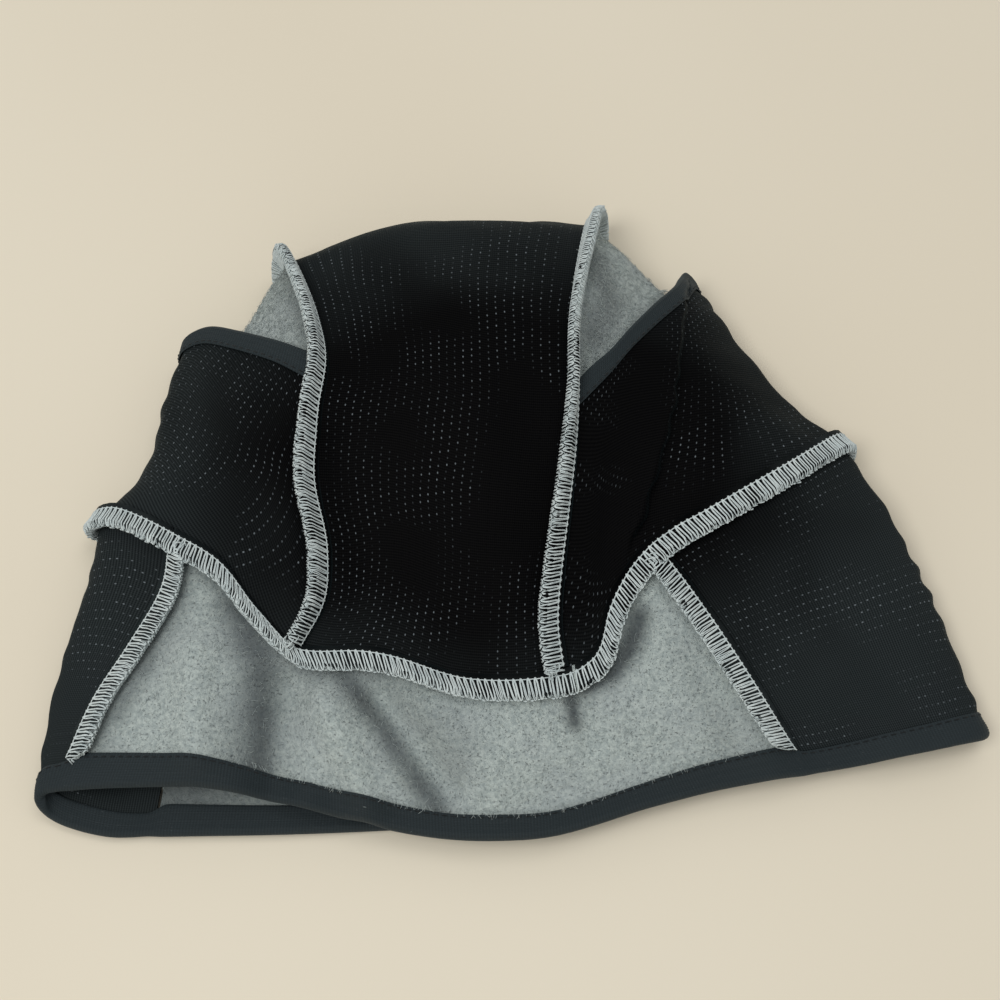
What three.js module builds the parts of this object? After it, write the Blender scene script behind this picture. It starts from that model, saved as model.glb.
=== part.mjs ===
// A balaclava turned inside out and laid flat on its front. Millimetres, +X across, +Y towards
// the crown, +Z up. It is a tube for the neck and cheeks, with a crown that comes out of it.
// Every panel of cloth is a patch between four sewn or bound lines, made into a thin shell.
// Lines that go round the tube run under it to the left, over it to the right, and under it back.
import * as THREE from 'three';

// ---- Cloth and trim ----
const MESH_THICK = 1.2;         // perforated mesh cloth
const FLEECE_THICK = 2;         // brushed fleece
const TAPE_THICK = 0.9;         // elastic binding tape
const TAPE_WIDTH = 6.8;         // flat part of a bound edge, on each face
const SEAM_WIDTH = 6;           // sewn line to cut edge of an overlocked seam allowance
const SEAM_THICK = 2.2;         // two layers of cloth under the overlock thread
const TOPSTITCH_WIDTH = 0.9;
const TOPSTITCH_THICK = 0.5;
const TOPSTITCH_INSET = 5.6;    // bound edge to topstitch
const GAP = 0.35;               // clearance between pieces that touch

// ---- How it lies ----
const CREST = 33;               // rise of the top layer above the side folds, at its highest
const HEM_RISE = 11;            // the same at the hem
const HEM_Y = -94;
const CREST_Y = 35;
const TOP_Y = 106;              // where the rise of the top layer comes back to nothing
const SIDE_MID = 8.5;           // height of the middle of the side folds
const FOLD_INSET = 2.2;         // the top and the bottom of a side fold lie this far inside its edge
const ROUNDNESS = 0.5;          // below 1 the top layer meets the side folds upright
const SEAM_LIFT = 3;            // cloth beside a seam that lies under the hood
const TAPE_LIFT = GAP + TAPE_THICK + GAP + TOPSTITCH_THICK;
const BROW_LIFT = 5;            // the brow rests on the bound edge of the mask part
const TUCK_DEPTH = 5.5;         // the crown's sides go this far under the mask part
const SETTLE = 7;               // how deep loose cloth underneath would hang without the floor
const SWELL_REACH = 0.4;        // how far round a patch its side fold stands out

const EDGE_INSET = 0.5;         // a panel stops this far from its sewn lines
const UP = new THREE.Vector3(0, 0, 1);
const { lerp, smoothstep, degToRad } = THREE.MathUtils;

// ---- Heights ----

/** x of the left (-1) or right (+1) side fold at y. */
function sideAt(y, side) {
  const folds = side < 0
    ? [[-95, -134], [-60, -136], [0, -124.5], [57, -105], [90, -86], [110, -70]]
    : [[-62, 139], [-40, 135], [25, 103], [80, 59], [100, 45], [110, 40]];
  const next = folds.findIndex(([foldY]) => foldY >= y);
  if (next <= 0) return next < 0 ? folds.at(-1)[1] : folds[0][1];
  const [y0, x0] = folds[next - 1];
  const [y1, x1] = folds[next];
  return lerp(x0, x1, (y - y0) / (y1 - y0));
}

/** Height of the top layer's outer face. */
function topHeight(x, y) {
  const left = sideAt(y, -1);
  const right = sideAt(y, 1);
  const across = THREE.MathUtils.clamp((2 * x - left - right) / (right - left), -1, 1);
  let rise = lerp(HEM_RISE, CREST, smoothstep(y, HEM_Y, CREST_Y));
  if (y > CREST_Y) rise *= Math.sqrt(Math.max(0, 1 - ((y - CREST_Y) / (TOP_Y - CREST_Y)) ** 2));
  return SIDE_MID + rise * (1 - across ** 2) ** ROUNDNESS;
}

const above = (...plan) => plan.map(([x, y]) => new THREE.Vector3(x, y, topHeight(x, y)));
const under = (height, ...plan) => plan.map(([x, y]) => new THREE.Vector3(x, y, height));

/** Three points round a side fold, from the top layer to the bottom one. */
function fold(x, y, side, floor, slope = 0) {
  const inner = x - side * FOLD_INSET;
  return [
    new THREE.Vector3(inner, y + slope, topHeight(inner, y + slope)),
    new THREE.Vector3(x, y, SIDE_MID),
    new THREE.Vector3(inner, y - slope, floor + FOLD_INSET / 2),
  ];
}

// ---- Lines ----

/** A smooth line through points, counted in spans from point to point. */
function line(points, closed = false) {
  const curve = new THREE.CatmullRomCurve3(points, closed, 'centripetal');
  const spans = closed ? points.length : points.length - 1;
  return { curve, spans };
}

/** The stretch of a line between two of its points. */
function stretch({ curve, spans }, from, to) {
  return (t) => curve.getPoint(THREE.MathUtils.euclideanModulo(lerp(from, to, t), spans + 1e-9) / spans);
}

// The neck seam, all the way round: chin, left throat corner, left side fold, nape, right side
// fold, right throat corner. NECK names its corners, and the hem has a point for each of its points.
const NECK = { chin: 0, throatLeft: 2, yokeLeft: 10, spineLeft: 13, spineRight: 16, yokeRight: 19,
  throatRight: 27, chinAgain: 29 };
const neckLine = line([
  ...under(SEAM_LIFT, [-8, -38], [-50, -31], [-92, -16], [-104, -9], [-115, -3]),
  ...fold(-124, 1, -1, SEAM_LIFT).reverse(),
  ...above([-116, 0], [-108, -4], [-98, -10], [-84, -19], [-74, -32], [-61, -44], [-38, -45.5],
    [-14, -53], [15, -52], [25, -46], [30, -30], [41, -15], [58, -4], [80, 10]),
  ...fold(101, 24, 1, SEAM_LIFT),
  ...under(SEAM_LIFT, [94, 19], [83, 11], [70, 2], [32, -23]),
], true);

const hemLine = line([
  ...under(TAPE_LIFT, [-8, -88], [-55, -91], [-102, -92], [-114, -92.5], [-126, -90]),
  ...fold(-135.5, -84, -1, TAPE_LIFT, 3).reverse(),
  ...above([-131.5, -81], [-129.5, -81], [-127.5, -80.5], [-104, -80], [-82, -81], [-62, -84.5],
    [-40, -90], [-14, -94], [12, -93], [36, -86], [60, -80], [85, -76], [102, -73], [118, -70]),
  ...fold(138.5, -65, 1, TAPE_LIFT, -1),
  ...under(TAPE_LIFT, [128, -63.5], [114, -65], [98, -68], [46, -79]),
], true);

// The bound edge of the mask part, from the right spine seam under the face to the left one.
const MASK = { right: 0, front: 13, left: 26 };
const maskLine = line([
  ...above([19, 30], [24, 36], [30, 42], [36, 50], [44, 60], [52, 70]),
  ...fold(59, 81, 1, TAPE_LIFT),
  ...under(TAPE_LIFT, [57, 68], [53, 56], [45, 44], [20, 24], [-8, 12], [-42, 17], [-74, 30], [-87, 39],
    [-96, 48]),
  ...fold(-102, 56, -1, TAPE_LIFT).reverse(),
  ...above([-93, 57], [-84, 53.5], [-76, 50], [-68, 46.5], [-61, 43], [-55, 40]),
]);

// The spine seams run from the nape over the top of the head and under it to the brow.
const SPINE = { nape: 0, tucked: 4, mask: 5, topStart: 8, topEnd: 10, brow: 13 };
const spineLeft = line([
  ...above([-61, -44], [-54, -31], [-53, -15], [-57, 4], [-56.5, 23], [-55, 40], [-58, 54], [-63, 68],
    [-67.5, 78]),
  ...under(9.5, [-70.5, 83]),
  ...under(4, [-69, 79]),
  ...under(SEAM_LIFT, [-66, 72]),
  ...under(3.8, [-62, 63]),
  ...under(BROW_LIFT, [-60, 53]),
]);
const spineRight = line([
  ...above([15, -52], [13, -38], [14, -22], [16, -6], [18, 12], [19, 30], [19, 49], [21, 69], [25, 93]),
  ...under(9.5, [27, 100]),
  ...under(4, [26, 96]),
  ...under(SEAM_LIFT, [24, 86]),
  ...under(3.8, [21, 70]),
  ...under(BROW_LIFT, [17, 55]),
]);

const yokeLeft = line([neckLine.curve.points[NECK.yokeLeft], ...above([-99.5, -25], [-109, -42], [-119, -58]),
  hemLine.curve.points[NECK.yokeLeft]]);
const yokeRight = line([neckLine.curve.points[NECK.yokeRight], ...above([52, -29], [62, -44], [72, -59]),
  hemLine.curve.points[NECK.yokeRight]]);
const throatLeft = line([neckLine.curve.points[NECK.throatLeft], ...under(SEAM_LIFT, [-96, -42], [-99, -68]),
  hemLine.curve.points[NECK.throatLeft]]);
const throatRight = line([neckLine.curve.points[NECK.throatRight], ...under(SEAM_LIFT, [80, -21], [89, -44]),
  hemLine.curve.points[NECK.throatRight]]);
const centreFront = line([neckLine.curve.points[NECK.chin], ...under(SEAM_LIFT, [-8, -20], [-8, -2]),
  maskLine.curve.points[MASK.front]]);

// The crown's side panels end at the brow underneath, and go in between the layers of the mask part.
const browLeft = line([
  spineLeft.curve.points[SPINE.brow],
  ...under(BROW_LIFT, [-76, 53]),
  ...under(7, [-89, 53]),
  ...under(11, [-92, 53]),
  ...under(15, [-89, 51]),
  ...under(topHeight(-75, 35) - TUCK_DEPTH - 2, [-75, 37]),
  lowered(spineLeft.curve.points[SPINE.tucked], TUCK_DEPTH),
]);
const browRight = line([
  lowered(spineRight.curve.points[SPINE.tucked], TUCK_DEPTH),
  ...under(topHeight(36, 44) - TUCK_DEPTH - 1, [34, 42]),
  ...under(15, [50, 67]),
  ...under(11, [53.5, 71]),
  ...under(7, [51, 71]),
  ...under(BROW_LIFT, [36, 62]),
  spineRight.curve.points[SPINE.brow],
]);

function lowered(point, depth) {
  return point.clone().addScaledVector(UP, -depth);
}

/** A line that starts lowered under the mask part and comes up to the spine seam. */
function risingFromTuck(spine) {
  return (t) => lowered(spine(t), TUCK_DEPTH * (1 - smoothstep(t, 0.22, 0.55)));
}

// ---- Patches ----

/**
 * A surface between four lines. bottom and top run along u, left and right along v, and du x dv
 * points out of the hood. Loose cloth that would hang below the floor lies on it.
 */
function patch(thick, { bottom, top, left, right, swell = () => null, settle = () => 0 }) {
  const corners = [bottom(0), bottom(1), top(0), top(1)];
  const at = (u, v) => {
    const point = bottom(u).multiplyScalar(1 - v).addScaledVector(top(u), v)
      .addScaledVector(left(v), 1 - u).addScaledVector(right(v), u)
      .addScaledVector(corners[0], -(1 - u) * (1 - v)).addScaledVector(corners[1], -u * (1 - v))
      .addScaledVector(corners[2], -(1 - u) * v).addScaledVector(corners[3], -u * v);
    const extra = swell(u, v);
    if (extra) point.add(extra);
    const hang = settle(u, v);
    if (hang > 0) point.z = Math.max(0, point.z - hang);
    return point;
  };
  const normal = (u, v) => {
    const step = 0.004;
    const u0 = Math.max(0, u - step);
    const v0 = Math.max(0, v - step);
    const du = at(Math.min(1, u + step), v).sub(at(u0, v));
    const dv = at(u, Math.min(1, v + step)).sub(at(u, v0));
    return du.cross(dv).normalize();
  };
  return { thick, at, normal };
}

/** 0 beside both ends of 0..1 and 1 in the middle, with room for a seam allowance at the ends. */
const middle = (t) => smoothstep(t, 0.13, 0.4) * smoothstep(1 - t, 0.13, 0.4);

/** Cloth settles only on the part of u from..to, which lies under the hood. */
const settleBetween = (from, to) => (u, v) => SETTLE * middle(v) * middle((u - from) / (to - from));

const reversed = (side) => (t) => side(1 - t);

/** Cloth that stands out by (x, y) at a side fold, which is at u = at on the patch. */
const sideSwell = (x, y, at) => (u, v) => {
  const near = Math.max(0, 1 - Math.abs(u - at) / SWELL_REACH);
  return new THREE.Vector3(x, y, 0).multiplyScalar(smoothstep(near, 0, 1) * Math.sin(Math.PI * v));
};

const patches = {
  crownCentre: patch(MESH_THICK, {
    bottom: stretch(neckLine, NECK.spineLeft, NECK.spineRight),
    top: (u) => spineLeft.curve.getPoint(1).lerp(spineRight.curve.getPoint(1), u),
    left: stretch(spineLeft, SPINE.nape, SPINE.brow),
    right: stretch(spineRight, SPINE.nape, SPINE.brow),
    swell: (u, v) => {
      const across = 4 * u * (1 - u);
      const overTop = smoothstep(v, 0.4, 0.66) * (1 - smoothstep(v, 0.72, 0.95));
      const onTop = smoothstep(v, 0, 0.2) * (1 - smoothstep(v, 0.5, 0.7));
      return new THREE.Vector3(0, 9 * across * overTop, 2.5 * across * onTop);
    },
    settle: (u, v) => SETTLE * middle(u) * smoothstep(v, 0.72, 0.8) * (1 - smoothstep(v, 0.86, 0.95)),
  }),
  crownLeft: patch(FLEECE_THICK, {
    bottom: stretch(browLeft, 0, 6),
    top: stretch(spineLeft, SPINE.topEnd, SPINE.topStart),
    left: stretch(spineLeft, SPINE.brow, SPINE.topEnd),
    right: risingFromTuck(stretch(spineLeft, SPINE.tucked, SPINE.topStart)),
  }),
  crownRight: patch(FLEECE_THICK, {
    bottom: stretch(browRight, 0, 6),
    top: stretch(spineRight, SPINE.topStart, SPINE.topEnd),
    left: risingFromTuck(stretch(spineRight, SPINE.tucked, SPINE.topStart)),
    right: stretch(spineRight, SPINE.brow, SPINE.topEnd),
  }),
  cheekLeft: patch(MESH_THICK, {
    bottom: stretch(neckLine, NECK.chin, NECK.spineLeft),
    top: stretch(maskLine, MASK.front, MASK.left),
    left: stretch(centreFront, 0, 3),
    right: stretch(spineLeft, SPINE.nape, SPINE.mask),
    swell: sideSwell(3, 0, 7 / 13),
    settle: settleBetween(0, 0.36),
  }),
  cheekRight: patch(MESH_THICK, {
    bottom: stretch(neckLine, NECK.spineRight, NECK.chinAgain),
    top: stretch(maskLine, MASK.right, MASK.front),
    left: stretch(spineRight, SPINE.nape, SPINE.mask),
    right: stretch(centreFront, 0, 3),
    swell: sideSwell(-1.5, -1, 6 / 13),
    settle: settleBetween(0.64, 1),
  }),
  neckLeft: patch(MESH_THICK, {
    bottom: stretch(hemLine, NECK.throatLeft, NECK.yokeLeft),
    top: stretch(neckLine, NECK.throatLeft, NECK.yokeLeft),
    left: reversed(stretch(throatLeft, 0, 3)),
    right: reversed(stretch(yokeLeft, 0, 4)),
    swell: sideSwell(-3, 0, 0.5),
    settle: settleBetween(0, 0.36),
  }),
  neckRight: patch(MESH_THICK, {
    bottom: stretch(hemLine, NECK.yokeRight, NECK.throatRight),
    top: stretch(neckLine, NECK.yokeRight, NECK.throatRight),
    left: reversed(stretch(yokeRight, 0, 4)),
    right: reversed(stretch(throatRight, 0, 3)),
    swell: sideSwell(5, 0, 0.5),
    settle: settleBetween(0.64, 1),
  }),
  napeYoke: patch(FLEECE_THICK, {
    bottom: stretch(hemLine, NECK.yokeLeft, NECK.yokeRight),
    top: stretch(neckLine, NECK.yokeLeft, NECK.yokeRight),
    left: reversed(stretch(yokeLeft, 0, 4)),
    right: reversed(stretch(yokeRight, 0, 4)),
  }),
  throatYoke: patch(FLEECE_THICK, {
    bottom: stretch(hemLine, NECK.throatRight, NECK.throatLeft + NECK.chinAgain),
    top: stretch(neckLine, NECK.throatRight, NECK.throatLeft + NECK.chinAgain),
    left: reversed(stretch(throatRight, 0, 3)),
    right: reversed(stretch(throatLeft, 0, 3)),
    settle: settleBetween(0, 1),
  }),
};

// ---- Solids ----

/** Steps from `from` to `to` in count parts. */
const steps = (from, to, count) => Array.from({ length: count + 1 }, (_, i) => lerp(from, to, i / count));

/** Outward normals of a grid of points, from its neighbours along rows and columns. */
function gridNormals(grid) {
  return grid.map((row, j) => row.map((_, i) => {
    const along = row[Math.min(row.length - 1, i + 1)].clone().sub(row[Math.max(0, i - 1)]);
    const across = grid[Math.min(grid.length - 1, j + 1)][i].clone().sub(grid[Math.max(0, j - 1)][i]);
    return along.cross(across).normalize();
  }));
}

/** A closed shell between two grids of points, joined by rims. With closed, the last column meets the first. */
function shell(outerGrid, innerGrid, closed = false) {
  const rows = outerGrid.length;
  const columns = outerGrid[0].length;
  const positions = [outerGrid, innerGrid].flat(2).flatMap((point) => point.toArray());
  const outer = (i, j) => j * columns + (i % columns);
  const inner = (i, j) => rows * columns + outer(i, j);
  const index = [];
  const quad = (a, b, c, d) => index.push(a, b, c, a, c, d);
  const cells = closed ? columns : columns - 1;
  for (let j = 0; j < rows - 1; j += 1) {
    for (let i = 0; i < cells; i += 1) {
      quad(outer(i, j), outer(i + 1, j), outer(i + 1, j + 1), outer(i, j + 1));
      quad(inner(i, j), inner(i, j + 1), inner(i + 1, j + 1), inner(i + 1, j));
    }
    if (!closed) {
      quad(outer(0, j), outer(0, j + 1), inner(0, j + 1), inner(0, j));
      quad(outer(cells, j), inner(cells, j), inner(cells, j + 1), outer(cells, j + 1));
    }
  }
  for (let i = 0; i < cells; i += 1) {
    quad(outer(i, 0), inner(i, 0), inner(i + 1, 0), outer(i + 1, 0));
    quad(outer(i, rows - 1), outer(i + 1, rows - 1), inner(i + 1, rows - 1), inner(i, rows - 1));
  }
  const geometry = new THREE.BufferGeometry();
  geometry.setAttribute('position', new THREE.Float32BufferAttribute(positions, 3));
  geometry.setIndex(index);
  geometry.computeVertexNormals();
  return geometry;
}

/** Makes a shell from columns of [outer, inner] points, turned to face the way that outward points. */
function shellOfColumns(columns, outward, closed) {
  const rowsOf = (face) => columns[0].map((_, j) => columns.map((column) => column[j][face]));
  const grids = [rowsOf(0), rowsOf(1)];
  const along = grids[0][0][1].clone().sub(grids[0][0][0]);
  const across = grids[0][1][0].clone().sub(grids[0][0][0]);
  if (along.cross(across).dot(outward) < 0) grids.forEach((grid) => grid.reverse());
  return shell(...grids, closed);
}

/** A panel's shell, on grid lines us and vs of its patch. */
function panel({ thick, at }, us, vs) {
  const grid = vs.map((v) => us.map((u) => at(u, v)));
  const normals = gridNormals(grid);
  return shell(grid, grid.map((row, j) => row.map((point, i) => moved(point, normals[j][i], -thick))));
}

const moved = (point, direction, distance) => point.clone().addScaledVector(direction, distance);

/** A U of tape round a bound edge. Each station has the patch, its edge and the tape's inner edge. */
function binding(stations, closed) {
  const bothFaces = (point, direction, distance) => [
    moved(point, direction, distance + TAPE_THICK), moved(point, direction, distance)];
  const columns = stations.map(({ on, edge, inner }) => {
    const half = on.thick / 2 + GAP;
    const rim = on.at(...edge);
    const back = on.at(...inner);
    const rimOut = on.normal(...edge);
    const backOut = on.normal(...inner);
    const away = rim.clone().sub(back).normalize();
    const centre = moved(moved(rim, rimOut, -on.thick / 2), away, GAP);
    const round = [0, 60, 120, 180].map((angle) => {
      const spoke = rimOut.clone().multiplyScalar(Math.cos(degToRad(angle)))
        .addScaledVector(away, Math.sin(degToRad(angle)));
      return bothFaces(centre, spoke, half);
    });
    const backCentre = moved(back, backOut, -on.thick / 2);
    return [bothFaces(backCentre, backOut, half), ...round, bothFaces(backCentre, backOut.clone().negate(), half)];
  });
  return shellOfColumns(columns, stations[0].on.normal(...stations[0].edge), closed);
}

/**
 * A flat strip that stands on the cloth: a seam allowance or a line of stitches. Each station has
 * the point, the outward normal and the direction it leans to, and lean is the angle between the
 * cloth on that side and the strip.
 */
function strip(stations, { width, thick, lift, lean = () => 0, closed = false }) {
  const faceOf = ({ normal, toward }, angle) => (
    normal.clone().multiplyScalar(Math.cos(angle)).addScaledVector(toward, -Math.sin(angle)));
  const columns = stations.map((station, i) => {
    const { point, normal, toward } = station;
    const angle = degToRad(lean(i / (stations.length - 1)));
    const out = toward.clone().multiplyScalar(Math.cos(angle)).addScaledVector(normal, Math.sin(angle));
    const face = faceOf(station, angle);
    const root = moved(point, normal, lift + Math.abs(Math.cos(angle)) * thick / 2);
    const tip = moved(root, out, width);
    return [root, tip].map((middleOf) => [moved(middleOf, face, thick / 2), moved(middleOf, face, -thick / 2)]);
  });
  return shellOfColumns(columns, faceOf(stations[0], degToRad(lean(0))), closed);
}

/** A point of a patch, its outward normal, and the direction along the cloth to another point. */
function standing(on, u, v, other) {
  const point = on.at(u, v);
  const normal = on.normal(u, v);
  const toward = other.clone().sub(point);
  toward.addScaledVector(normal, -toward.dot(normal)).normalize();
  return { point, normal, toward };
}

/** Linear steps through a list of angles. */
const leanThrough = (...angles) => (t) => {
  const place = t * (angles.length - 1);
  const i = Math.min(Math.floor(place), angles.length - 2);
  return lerp(angles[i], angles[i + 1], place - i);
};

// ---- Materials ----

const material = (color, roughness) => new THREE.MeshStandardMaterial({ color, roughness, metalness: 0 });
const meshCloth = () => material('#131314', 0.85);
const fleece = () => material('#8d9997', 1);
const elastic = () => material('#23292c', 0.8);
const thread = () => material('#c3c9ca', 0.7);

// ---- Assembly ----

// How long each patch is, along the lines that go round (u) and from its lower line to its upper (v)
const SIZE = {
  crownCentre: { round: 75, rise: 215 },
  crownSide: { round: 65, rise: 42 },
  cheek: { round: 250, rise: 75 },
  neckSide: { round: 90, rise: 70 },
  yoke: { round: 180, rise: 70 },
};
const THICK_EDGE_INSET = 4.4;   // thick cloth that meets its seam at an angle stops further away
const SEAM_ROOM = 4.4;          // a binding stops this far from the seam that catches its end

/** Grid lines over 0..1 that stop short of a sewn line at both ends. */
const sewn = (length, count, inset = EDGE_INSET) => steps(inset / length, 1 - inset / length, count);

/** The same with a bound edge at 0, and a grid line where its tape ends. */
const boundToSewn = (length, count, inset = EDGE_INSET) => (
  [0, ...steps(TAPE_WIDTH / length, 1 - inset / length, count)]);
const sewnToBound = (length, count) => boundToSewn(length, count).map((v) => 1 - v).reverse();

const around = {
  crownCentre: sewn(SIZE.crownCentre.round, 8),
  crownSide: sewn(SIZE.crownSide.round, 12, THICK_EDGE_INSET),
  cheek: sewn(SIZE.cheek.round, 26),
  neckSide: sewn(SIZE.neckSide.round, 16),
  napeYoke: sewn(SIZE.yoke.round, 18),
  throatYoke: sewn(SIZE.yoke.round, 12),
};
const cheekRows = sewnToBound(SIZE.cheek.rise, 8);
const neckRows = boundToSewn(SIZE.neckSide.rise, 7);
const yokeRows = boundToSewn(SIZE.yoke.rise, 7);
const crownSideRows = boundToSewn(SIZE.crownSide.rise, 6, THICK_EDGE_INSET);

const hood = new THREE.Group();

function add(name, geometry, look) {
  const mesh = new THREE.Mesh(geometry, look);
  mesh.name = name;
  hood.add(mesh);
}

add('crown_centre_panel', panel(patches.crownCentre, around.crownCentre,
  sewnToBound(SIZE.crownCentre.rise, 24)), meshCloth());
add('crown_side_panel_left', panel(patches.crownLeft, around.crownSide, crownSideRows), fleece());
add('crown_side_panel_right', panel(patches.crownRight, around.crownSide, crownSideRows), fleece());
add('cheek_panel_left', panel(patches.cheekLeft, around.cheek, cheekRows), meshCloth());
add('cheek_panel_right', panel(patches.cheekRight, around.cheek, cheekRows), meshCloth());
add('neck_side_panel_left', panel(patches.neckLeft, around.neckSide, neckRows), meshCloth());
add('neck_side_panel_right', panel(patches.neckRight, around.neckSide, neckRows), meshCloth());
add('nape_yoke', panel(patches.napeYoke, around.napeYoke, yokeRows), fleece());
add('throat_yoke', panel(patches.throatYoke, around.throatYoke, yokeRows), fleece());

// ---- Bindings, with their stitches ----

/** Tape stations along a bound edge at v = 0 or 1 of a patch. */
const bound = (on, us, v, rise) => us.map((u) => (
  { on, edge: [u, v], inner: [u, v + (v ? -1 : 1) * TAPE_WIDTH / rise] }));

/** Grid lines whose first or last one stops short of the seam that catches the tape's end. */
const fromSeam = (us, length) => [SEAM_ROOM / length, ...us.slice(1)];
const toSeam = (us, length) => [...us.slice(0, -1), 1 - SEAM_ROOM / length];

const hemStations = [
  ...bound(patches.napeYoke, around.napeYoke, 0, SIZE.yoke.rise),
  ...bound(patches.neckRight, around.neckSide, 0, SIZE.neckSide.rise),
  ...bound(patches.throatYoke, around.throatYoke, 0, SIZE.yoke.rise),
  ...bound(patches.neckLeft, around.neckSide, 0, SIZE.neckSide.rise),
];
const maskStations = [
  ...bound(patches.cheekRight, fromSeam(around.cheek, SIZE.cheek.round), 1, SIZE.cheek.rise),
  ...bound(patches.cheekLeft, toSeam(around.cheek, SIZE.cheek.round), 1, SIZE.cheek.rise),
];
const browStations = [
  ...bound(patches.crownLeft, toSeam(around.crownSide, SIZE.crownSide.round), 0, SIZE.crownSide.rise).reverse(),
  ...bound(patches.crownCentre, around.crownCentre, 1, SIZE.crownCentre.rise),
  ...bound(patches.crownRight, fromSeam(around.crownSide, SIZE.crownSide.round), 0, SIZE.crownSide.rise).reverse(),
];

/** The line of stitches that holds a binding, on its outer leg. */
function topstitch(stations, closed) {
  const placed = stations.map(({ on, edge, inner }) => {
    const share = TOPSTITCH_INSET / TAPE_WIDTH;
    const u = edge[0];
    const v = lerp(edge[1], inner[1], share);
    return standing(on, u, v, on.at(...edge));
  });
  return strip(placed, { width: TOPSTITCH_WIDTH, thick: TOPSTITCH_THICK, lift: GAP + TAPE_THICK + GAP, closed });
}

for (const [name, stations, closed] of [
  ['hem', hemStations, true],
  ['mask_edge', maskStations, false],
  ['brow', browStations, false],
]) {
  add(`${name}_binding`, binding(stations, closed), elastic());
  add(`${name}_topstitch`, topstitch(closed ? stations : stations.slice(1, -1), closed), elastic());
}

// ---- Overlocked seams, which stand on the outside of the turned hood ----

function seam(name, stations, lean, closed = false) {
  const geometry = strip(stations, { width: SEAM_WIDTH, thick: SEAM_THICK, lift: GAP, lean, closed });
  add(name, geometry, thread());
}

const SIDE_STEP = 0.05;         // share of a patch that shows which way its inside lies
const upSide = (on, vs, u, side) => vs.map((v) => standing(on, u, v, on.at(u + side * SIDE_STEP, v)));
const alongTop = (on, us) => us.map((u) => standing(on, u, 1, on.at(u, 1 - SIDE_STEP)));

seam('crown_seam_left', upSide(patches.crownCentre, steps(0.03, 0.94, 50), 0, -1),
  leanThrough(70, 60, 55, 60, 70, 75, 80, 75, 12, 0, 0));
seam('crown_seam_right', upSide(patches.crownCentre, steps(0.035, 0.94, 50), 1, -1),
  leanThrough(40, 35, 45, 60, 80, 90, 110, 125, 168, 180, 180));

const neckStations = [
  ...alongTop(patches.napeYoke, sewn(SIZE.yoke.round, 36)),
  ...alongTop(patches.neckRight, sewn(SIZE.neckSide.round, 20)),
  ...alongTop(patches.throatYoke, sewn(SIZE.yoke.round, 12)),
  ...alongTop(patches.neckLeft, sewn(SIZE.neckSide.round, 20)),
];
seam('neck_seam', neckStations, leanThrough(35, 25, 25, 25, 35, 15, 0, 0, 0, 0, 20, 35), true);

seam('yoke_seam_left', upSide(patches.napeYoke, steps(0.12, 0.885, 16), 0, 1), leanThrough(25, 30));
seam('yoke_seam_right', upSide(patches.napeYoke, steps(0.12, 0.885, 16), 1, -1), leanThrough(25, 30));
seam('throat_seam_left', upSide(patches.throatYoke, steps(0.3, 0.86, 8), 1, -1));
seam('throat_seam_right', upSide(patches.throatYoke, steps(0.3, 0.86, 8), 0, 1));
seam('centre_front_seam', upSide(patches.cheekLeft, steps(0.05, 0.7, 6), 0, 1));

// The part stands on z = 0 with its origin under the middle of its box.
const box = new THREE.Box3().setFromObject(hood);
const centre = box.getCenter(new THREE.Vector3());
hood.position.set(-centre.x, -centre.y, -box.min.z);

export default hood;
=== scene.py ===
"""A balaclava turned inside out and lying collapsed on a table, for Blender 4.5.

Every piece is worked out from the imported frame's own nodes. Each panel's grid of points is read back from
its CAD shell, made smooth and fine, and given its cloth's relief. Seams, threads and tapes are laid along it.
Lengths are in metres, unless a comment says mm.
"""

import math
from functools import partialmethod

import bpy
import numpy as np
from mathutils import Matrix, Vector, noise
from mathutils.kdtree import KDTree


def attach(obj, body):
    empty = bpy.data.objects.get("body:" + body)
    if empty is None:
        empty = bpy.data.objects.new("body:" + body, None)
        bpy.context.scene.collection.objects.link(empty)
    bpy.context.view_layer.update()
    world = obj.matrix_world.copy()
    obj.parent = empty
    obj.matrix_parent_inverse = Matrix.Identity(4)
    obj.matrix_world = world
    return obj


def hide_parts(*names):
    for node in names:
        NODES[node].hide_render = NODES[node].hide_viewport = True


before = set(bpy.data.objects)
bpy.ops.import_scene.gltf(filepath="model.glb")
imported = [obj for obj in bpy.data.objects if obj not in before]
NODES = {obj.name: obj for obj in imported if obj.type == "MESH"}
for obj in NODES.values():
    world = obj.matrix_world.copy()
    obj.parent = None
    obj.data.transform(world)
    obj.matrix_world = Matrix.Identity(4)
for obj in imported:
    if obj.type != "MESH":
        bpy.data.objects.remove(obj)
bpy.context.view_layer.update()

MM = 0.001
RANDOM = np.random.default_rng(7)

# Cloth
CLOTH_STEP = 0.8 * MM  # between the fine mesh's points
EASING = 9 * MM  # how far into a panel its edge's pull is felt
SEAM_GAP = 1.3 * MM  # the most from a panel's CAD edge to its seam
CROWN_GAP = 12.0 * MM  # the same, where the crown's sides pass under the spine seams
MIDDLE = np.array([0.0, 0.0, 7 * MM])  # inside the hood
SAME_FACE = 0.7  # triangles whose normals' cosine is above this lie on one face of a shell
UPPER_LAYER = (8 * MM, 14 * MM)  # the folds come in over these heights
LINING_HEIGHT = 7 * MM  # fleece lower than this is seen only inside the hood, where it gets painted shade
EYELET_COLUMNS = 2.7  # mm between the columns of eyelets
EYELET_ROWS = 2.0  # mm between the eyelets in a column
EYELET_RADIUS = 0.21  # mm
RIB_PITCH = 0.78  # mm, down the mesh cloth
LOOP_PITCH = 0.62  # mm, across it
MESH_PILE = 0.03 * MM  # how far its fine relief stands

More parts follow.
